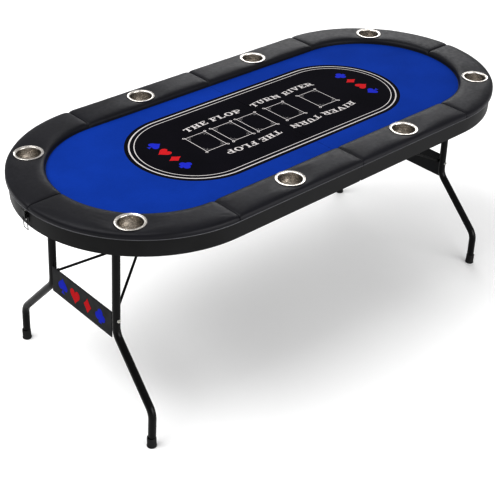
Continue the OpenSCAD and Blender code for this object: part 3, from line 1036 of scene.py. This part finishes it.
def foot_caps(half):
    """Moulded caps on the tube ends, with grip rings and a flared sole."""
    sx = SIGN[half]
    x = sx * (LEG_X + LEG_Z * math.tan(LEG_LEAN))
    profile = [(0, 0), (13.6, 0), (14.9, 0.5), (15.6, 1.6), (15.6, 4.2), (15.0, 5.4), (14.6, 7)]
    for i in range(4):
        z = 9 + i * 4
        profile += [(14.6, z), (14.1, z + 0.7), (14.1, z + 1.5), (14.6, z + 2.2)]
    profile += [(14.5, 30), (14.2, 34.6), (13.8, 35.8), (13.1, 36), (12.75, 35.4), (12.7, 30), (12.7, 6), (0, 6)]
    parts = [lathe(profile, (x, s * FOOT_Y), 40) for s in (-1, 1)]
    obj = mesh_object(f"{half}_foot_caps", *merged_lists(parts), [finish("rubber")])
    tidy(obj)
    shade(obj, 35)
    return settle(obj, f"{half}_leg_frame", "foot_rubber", f"{half}_feet")


# ---------------------------------------------------------------- fixings


def pan_screw(name, head, sides):
    """A pan-head cross-recess screw, head upwards from z = 0, in millimetres."""
    rows = [(1.0, 0.0), (1.0, 0.18), (0.93, 0.34), (0.74, 0.47), (0.46, 0.55)]
    verts, faces = lathe([(r * head, z * head) for r, z in rows], (0, 0), sides)
    # cross recess: the middle ring drops to a floor shaped like a plus sign
    base = len(verts)
    for low, spread, z in ((0.1, 0.3, 0.53), (0.07, 0.2, 0.26)):
        for k in range(sides):
            a = 2 * math.pi * k / sides
            arm = max(abs(math.cos(a)), abs(math.sin(a))) ** 10
            r = head * (low + spread * arm)
            verts.append((r * math.cos(a), r * math.sin(a), z * head))
    last = base - sides
    for k in range(sides):
        j = (k + 1) % sides
        faces.append((last + k, last + j, base + j, base + k))
        faces.append((base + k, base + j, base + sides + j, base + sides + k))
    faces.append(tuple(range(base + sides, base + 2 * sides)))
    faces.append(tuple(reversed(range(sides))))
    obj = mesh_object(name, verts, faces, [finish("zinc")])
    tidy(obj, 0.001)
    return obj


def fixings(name, part, spots, body, slot, seed, nodes):
    """Copies of one fixing at (place, direction) spots, made by a node tree and turned into one mesh."""
    mesh = bpy.data.meshes.new(name)
    mesh.from_pydata([tuple(c * MM for c in p) for p, _ in spots], [], [])
    aim = mesh.attributes.new("aim", "FLOAT_VECTOR", "POINT")
    aim.data.foreach_set("vector", [c for _, d in spots for c in d])
    obj = linked(name, mesh)
    run_tree(obj, scatter_tree(part, part.data.materials[0]), Seed=seed)
    if "aim" in obj.data.attributes:
        obj.data.attributes.remove(obj.data.attributes["aim"])
    shade(obj, 40)
    return settle(obj, body, slot, *nodes)


# ---------------------------------------------------------------- pieces built from the parts above


def joined(name, pieces):
    """One mesh object from several, keeping the first one's material."""
    bm = bmesh.new()
    for o in pieces:
        bm.from_mesh(o.data)
    mesh = bpy.data.meshes.new(name)
    bm.to_mesh(mesh)
    bm.free()
    mesh.materials.append(pieces[0].data.materials[0])
    for o in pieces:
        bpy.data.objects.remove(o)
    return linked(name, mesh)


def rectangle(cx, cy, w, h):
    return [(cx - w / 2, cy - h / 2), (cx + w / 2, cy - h / 2), (cx + w / 2, cy + h / 2), (cx - w / 2, cy + h / 2)]


def circle(cx, cy, r, n=20):
    return [(cx + r * math.cos(2 * math.pi * k / n), cy + r * math.sin(2 * math.pi * k / n)) for k in range(n)]


FRAMES = {"left": (-272, -162, -56), "right": (72, 227)}
WORDS = {
    "left": (("THE FLOP", -281, -42, 82, False), ("THE FLOP", -271, -42, -84, True)),
    "right": (
        ("TURN", 8, 137, 82, False), ("RIVER", 155, 294, 82, False), ("TURN", 7, 137, -84, True),
        ("RIVER", 151, 300, -84, True),
    ),
}
FRAME_W, FRAME_H, FRAME_Y, FRAME_LINE = 84.0, 110.0, 1.0, 3.0
# the spray of dots inside a frame's corner: inwards, inwards, radius
SPRAY = (
    (9, 9, 1.5), (14, 8, 1.1), (8, 14, 1.1), (19, 7, 0.9), (7, 19, 0.9), (13.5, 13.5, 1.0), (24, 6.5, 0.7),
    (6.5, 24, 0.7),
)


def card_frames(half):
    """Outlined places for the shared cards, with looped corners and a dotted spray inside each corner."""
    lines, loops, dots = [], [], []
    w, h = FRAME_W - 2 * FRAME_LINE, FRAME_H - 2 * FRAME_LINE
    for cx in FRAMES[half]:
        lines.append((rectangle(cx, FRAME_Y, FRAME_W, FRAME_H), rectangle(cx, FRAME_Y, w, h)))
        for u, v in ((-1, -1), (-1, 1), (1, -1), (1, 1)):
            x, y = cx + u * (FRAME_W / 2 - 1), FRAME_Y + v * (FRAME_H / 2 - 1)
            loops.append((circle(x + 2.6 * u, y + 2.6 * v, 5.0), circle(x + 2.6 * u, y + 2.6 * v, 2.3)))
            dots += [(circle(x - u * i, y - v * j, r, 10), None) for i, j, r in SPRAY]
    return lines, loops, dots


def print_words(half, height):
    """Outlines of the words on one half; flipped ones are turned to be read from the other side."""
    shapes = []
    for word, x0, x1, y, flip in WORDS[half]:
        for loops in word_outlines(word, x0, x1, height, 8):
            if flip:
                loops = [[(x0 + x1 - px, -py) for px, py in pts] if pts else None for pts in loops]
            shapes.append(tuple([(px, y + py) for px, py in pts] if pts else None for pts in loops))
    return shapes


INK_BOTTOM = CLOTH_TOP - 0.1
LINE_OUTER, LINE_INNER, LINE_INNER_WIDTH, PIPS_X = 207.5, 190.5, 3.5, 418
PIPS = (("spade", "blue ink"), ("heart", "red ink"), ("diamond", "red ink"), ("club", "blue ink"))


def pips(name, code, size, pitch, turn):
    """The suit marks of one colour in a row, turned in the plane by a function of (x, y)."""
    parts = []
    for i, (kind, ink_name) in enumerate(PIPS):
        if ink_name != code:
            continue
        for layer, loops in enumerate(pip(kind, size)):
            shapes = [([turn(x + (i - 1.5) * pitch, y) for x, y in pts], None) for pts in loops]
            if shapes:
                z = INK_BOTTOM + 0.02 * layer
                parts.append(fill_outlines(f"{name}_{layer}", shapes, z, 0.3, finish(code)))
    return joined(name, parts)


def print_half(half):
    """All of the ink on one half of the cloth."""
    p = bpy.context.scene.card_cloth
    sx = SIGN[half]
    w = p.line_width / MM
    white, z = finish("white ink"), INK_BOTTOM
    parts = []
    for outer, inner in ((LINE_OUTER, LINE_OUTER - w), (LINE_INNER, LINE_INNER - LINE_INNER_WIDTH)):
        tracks = [track_points(ZONE_S, r, sx, gap=FOLD_GAP) for r in (outer, inner)]
        v, f = band(*tracks, z, z + 0.25)
        parts.append(tidy(mesh_object("line", v, f, [white], smooth=False)))
    for k, shapes in enumerate(card_frames(half) + (print_words(half, p.letter_height / MM),)):
        parts.append(fill_outlines("ink", shapes, z, 0.25 + 0.02 * (k % 2), white))
    made = [joined(f"{half}_white_print", parts)]
    for code in ("red ink", "blue ink"):
        made.append(pips(f"{half}_{code.split()[0]}_print", code, 46, 52, lambda x, y: (sx * (PIPS_X - y), sx * x)))
    for o in made:
        shade(o, 20)
        settle(o, f"{half}_half", "felt")


def panel_print(half):
    """Suit marks on the outer face of the leg panel."""
    sx = SIGN[half]
    for code in ("red ink", "blue ink"):
        obj = pips(f"{half}_panel_{code.split()[0]}", code, 54, 66, lambda x, y: (x, y))
        for v in obj.data.vertices:
            lift = v.co.z / MM - CLOTH_TOP
            v.co = Vector(leg_place(-9.35 - lift, sx * v.co.x / MM, PANEL_MIDDLE - v.co.y / MM, sx)) * MM
        tidy(obj, 0.002)
        shade(obj, 20)
        settle(obj, f"{half}_leg_frame", "grey_sheet")


CUP_PROFILE = [
    (0, 691.7), (12, 691.7), (21, 691.6), (23.4, 691.0), (26.5, 690.8), (29.5, 691.5), (31.8, 693.4), (33.0, 696.5),
    (33.5, 702), (33.8, 710), (34.2, 713.2), (35.2, 715.6), (35.6, 719), (35.9, 730), (36.2, 742), (36.5, 748.2),
    (37.1, 750.3), (38.1, 751.3), (39.3, 751.2), (41.4, 750.95), (43.2, 751.4), (44.4, 752.1), (45.4, 752.1),
    (46.0, 751.5), (46.0, 750.8), (45.4, 750.4), (44.2, 750.9), (42.9, 750.5), (41.2, 750.3), (39.2, 750.4),
    (38.0, 750.1), (37.5, 748.4), (37.0, 742), (36.7, 730), (36.4, 719), (35.9, 715.4), (35.0, 713), (34.6, 710),
    (34.3, 702), (33.8, 696), (32.4, 692.7), (30.0, 690.6), (26.5, 690.0), (23, 690.2), (20.5, 690.9), (0, 690.9),
]


def cup_holders(half):
    """Pressed cup holders with a rolled flange, a stepped wall and a raised floor, dropped into the rail."""
    sx = SIGN[half]
    bead = bpy.context.scene.card_metal.cup_bead / MM - 1.1  # more or less than the profile's own bead
    profile = [(r + (bead if r > 43 else 0), z) for r, z in smooth_line(CUP_PROFILE, 1.6)]
    verts, faces = lathe([(max(r, 0.0), z) for r, z in profile], (0, 0), 96)
    cup = mesh_object("cup_holder", verts, faces, [finish("cup")])
    tidy(cup, 0.001)
    shade(cup, 60)
    spots = []
    for kind in ("side", "end"):
        x, y = cup_centre(kind)
        spots += [((sx * x, sy * y, 0), (0, 0, 1)) for sy in (-1, 1)]
    fixings(f"{half}_cup_holders", cup, spots, f"{half}_half", "stainless_steel", 4, [f"{half}_cups"])
    bpy.data.objects.remove(cup)


# name, distance from the table's long axis, height, bead radius, finish
# the lip piping's pale finish is a painted highlight along the rail's outer lip
BEADS = (("lip_piping", 419.6, 731.0, 1.7, "piping"), ("cloth_welt", 303.2, 732.9, 1.0, "vinyl"))


def edge_beads(half):
    """The piping under the rail's outer lip and the welt where the rail meets the cloth."""
    tree = piping_tree(finish("piping"))
    for name, r, z, size, kind in BEADS:
        parts = []
        for side in SIDES:
            obj = edge_line("run", rail_run(half, side, r, z))
            run_tree(obj, tree, Radius=size * MM, Sides=10, Finish=finish(kind))
            parts.append(obj)
        obj = joined(f"{half}_{name}", parts)
        tidy(obj, 0.001)
        shade(obj, 60)
        settle(obj, f"{half}_half", "padded_vinyl")


def foam_layer(half):
    """Thin foam between the cloth and the board."""
    outline = track_points(STRAIGHT, RAIL_IN - 1.5, SIGN[half], gap=FOLD_GAP + 0.6)
    verts, faces = prism(outline, BOARD_TOP + 0.05, CLOTH_TOP - 1.2)
    obj = mesh_object(f"{half}_foam_underlay", verts, faces, [finish("foam")], smooth=False)
    tidy(obj)
    return settle(obj, f"{half}_half", "felt")


def screw_set(half):
    """Every screw and bolt head that shows on one half."""
    sx = SIGN[half]
    sides = bpy.context.scene.card_metal.screw_sides
    small, large = pan_screw("small_screw", 4.5, sides), pan_screw("bolt_head", 6.0, sides)
    board = [((sx * x, y, 714.4), (0, 0, -1)) for x in (772, 720) for y in (-130, 130)]
    board += [((sx * x, 0, 714.4), (0, 0, -1)) for x in (462.1, 428.1)]
    fixings(f"{half}_bracket_screw_heads", small, board, f"{half}_half", "zinc_steel", 5, [f"{half}_bracket_screws"])
    flat = [((sx * 19, s * 230 + t, 678.9), (0, 0, -1)) for s in (-1, 1) for t in (-17, 17)]
    fixings(f"{half}_hinge_screw_heads", small, flat, f"{half}_half", "zinc_steel", 6, [f"{half}_hinge_screws"])
    bolts = [(leg_place(0, s * (LEG_Y + 12.3), BOLT_DOWN, sx), (0, s, 0)) for s in (-1, 1)]
    bolts += [(leg_place(0, s * (LEG_Y - 17.7), BOLT_DOWN, sx), (0, -s, 0)) for s in (-1, 1)]
    fixings(f"{half}_brace_bolt_heads", large, bolts, f"{half}_leg_frame", "zinc_steel", 7, [])
    for o in (small, large):
        bpy.data.objects.remove(o)


DRESS = {
    "board": "board", "rail_base": "vinyl", "apron": "apron", "beam": "board", "leg_brackets": "enamel",
    "arm_bracket": "zinc", "hinge_leaves": "zinc", "cross_tube": "tube", "brace_bolts": "zinc", "brace_rods": "enamel",
    "brace_arm": "enamel",
}
DRESS_ONCE = {
    "hinge_links": "zinc", "hinge_pins": "zinc", "latch_base": "enamel", "latch_lever": "enamel",
    "latch_loop": "enamel", "latch_catch": "enamel", "latch_screws": "zinc", "catch_screws": "zinc",
}


# ---------------------------------------------------------------- operators


class CARDTABLE_OT_rail(bpy.types.Operator):
    """Build the eight stuffed rail segments with their piping"""

    bl_idname = "card_table.rail"
    bl_label = "Padded rail"

    def execute(self, context):
        for half in HALVES:
            for side in SIDES:
                for kind in ("side", "end"):
                    rail_pad(half, side, kind)
            edge_beads(half)
        return {"FINISHED"}


class CARDTABLE_OT_cloth(bpy.types.Operator):
    """Build the stretched cloth and its foam underlay"""

    bl_idname = "card_table.cloth"
    bl_label = "Cloth"

    def execute(self, context):
        for half in HALVES:
            foam_layer(half)
            obj = cloth_half(half)
            settle(obj, f"{half}_half", "felt", f"{half}_felt")
        return {"FINISHED"}


class CARDTABLE_OT_ink(bpy.types.Operator):
    """Print the lines, card places, words and suit marks"""

    bl_idname = "card_table.ink"
    bl_label = "Printing"

    def execute(self, context):
        for half in HALVES:
            print_half(half)
            panel_print(half)
        return {"FINISHED"}


class CARDTABLE_OT_cups(bpy.types.Operator):
    """Drop the cup holders into the rail"""

    bl_idname = "card_table.cups"
    bl_label = "Cup holders"

    def execute(self, context):
        for half in HALVES:
            cup_holders(half)
        return {"FINISHED"}


class CARDTABLE_OT_legs(bpy.types.Operator):
    """Build the bent leg tubes, their panels and their foot caps"""

    bl_idname = "card_table.legs"
    bl_label = "Legs"

    def execute(self, context):
        for half in HALVES:
            for side in SIDES:
                leg_tube(half, side)
            panel_sheet(half)
            foot_caps(half)
        return {"FINISHED"}


class CARDTABLE_OT_hardware(bpy.types.Operator):
    """Give the fixed frame its finishes and put the screw heads on"""

    bl_idname = "card_table.hardware"
    bl_label = "Hardware"

    def execute(self, context):
        for half in HALVES:
            for name, kind in DRESS.items():
                dress(f"{half}_{name}", kind)
            screw_set(half)
        for name, kind in DRESS_ONCE.items():
            dress(name, kind)
        return {"FINISHED"}


FLOOR_HALF = 9000


def area_light(name, place, target, size, watts):
    data = bpy.data.lights.new(name, "AREA")
    data.shape = "RECTANGLE"
    data.size, data.size_y = size
    data.energy = watts
    obj = linked(name, data)
    obj.location = place
    obj.rotation_euler = (Vector(target) - Vector(place)).to_track_quat("-Z", "Y").to_euler()


class CARDTABLE_OT_stage(bpy.types.Operator):
    """Set the pale floor, the soft lights and the camera"""

    bl_idname = "card_table.stage"
    bl_label = "Stage"

    def execute(self, context):
        scene = context.scene
        pale = new_material("pale floor", Base_Color=hex_colour("fafafa"), Roughness=0.9, Specular_IOR_Level=0.1)[0]
        corners = [(x * FLOOR_HALF, y * FLOOR_HALF, 0) for x, y in ((-1, -1), (1, -1), (1, 1), (-1, 1))]
        floor = mesh_object("studio_floor", corners, [(0, 1, 2, 3)], [pale])
        world = bpy.data.worlds.new("studio")
        world.use_nodes = True
        background = world.node_tree.nodes["Background"]
        background.inputs[0].default_value = (1, 1, 1, 1)
        background.inputs[1].default_value = 0.5
        scene.world = world
        view = scene.view_settings
        view.view_transform, view.exposure, view.gamma = "Standard", 0.55, 0.76
        area_light("key", (-1.8, 0.6, 3.7), (0.1, 0, 0.5), (3.2, 3.2), 90)
        area_light("back", (3.2, 2.8, 2.5), (0.4, 0, 0.6), (2.6, 1.4), 30)
        area_light("fill", (0.6, -4.6, 1.2), (0, 0, 0.0), (4.4, 2.0), 110)
        cam = bpy.data.cameras.new("camera")
        cam.sensor_width, cam.lens = 36.0, 77.36
        cam.clip_end = 60
        obj = linked("camera", cam)
        right, up = Vector((0.7407, -0.6712, 0.0277)), Vector((0.3527, 0.4236, 0.8344))
        back = right.cross(up).normalized()
        up = back.cross(right.normalized())
        turn = Matrix((right.normalized(), up, back)).transposed().to_4x4()
        obj.matrix_world = Matrix.Translation((-2.2028, -2.2600, 2.2962)) @ turn
        scene.camera = obj
        return {"FINISHED"}


OPERATORS = (
    CARDTABLE_OT_rail, CARDTABLE_OT_cloth, CARDTABLE_OT_ink, CARDTABLE_OT_cups, CARDTABLE_OT_legs,
    CARDTABLE_OT_hardware, CARDTABLE_OT_stage,
)


class CARDTABLE_PT_build(bpy.types.Panel):
    """Sidebar panel with the sizes and one button a group of pieces"""

    bl_idname = "CARDTABLE_PT_build"
    bl_label = "Card table"
    bl_space_type = "VIEW_3D"
    bl_region_type = "UI"
    bl_category = "Card table"

    def draw(self, context):
        layout = self.layout
        for group in (context.scene.card_rail, context.scene.card_cloth, context.scene.card_metal):
            box = layout.box()
            for name in group.__annotations__:
                box.prop(group, name)
        for op in OPERATORS:
            layout.operator(op.bl_idname)


CLASSES = (RailSettings, ClothSettings, MetalSettings) + OPERATORS + (CARDTABLE_PT_build,)
SETTINGS = {"card_rail": RailSettings, "card_cloth": ClothSettings, "card_metal": MetalSettings}


def register():
    for c in CLASSES:
        bpy.utils.register_class(c)
    for name, kind in SETTINGS.items():
        setattr(bpy.types.Scene, name, PointerProperty(type=kind))


def unregister():
    for name in SETTINGS:
        delattr(bpy.types.Scene, name)
    for c in reversed(CLASSES):
        bpy.utils.unregister_class(c)


def main():
    register()
    bpy.ops.card_table.stage()
    bpy.ops.card_table.legs()
    bpy.ops.card_table.hardware()
    bpy.ops.card_table.cups()
    bpy.ops.card_table.cloth()
    bpy.ops.card_table.ink()
    bpy.ops.card_table.rail()


if __name__ == "__main__":
    main()
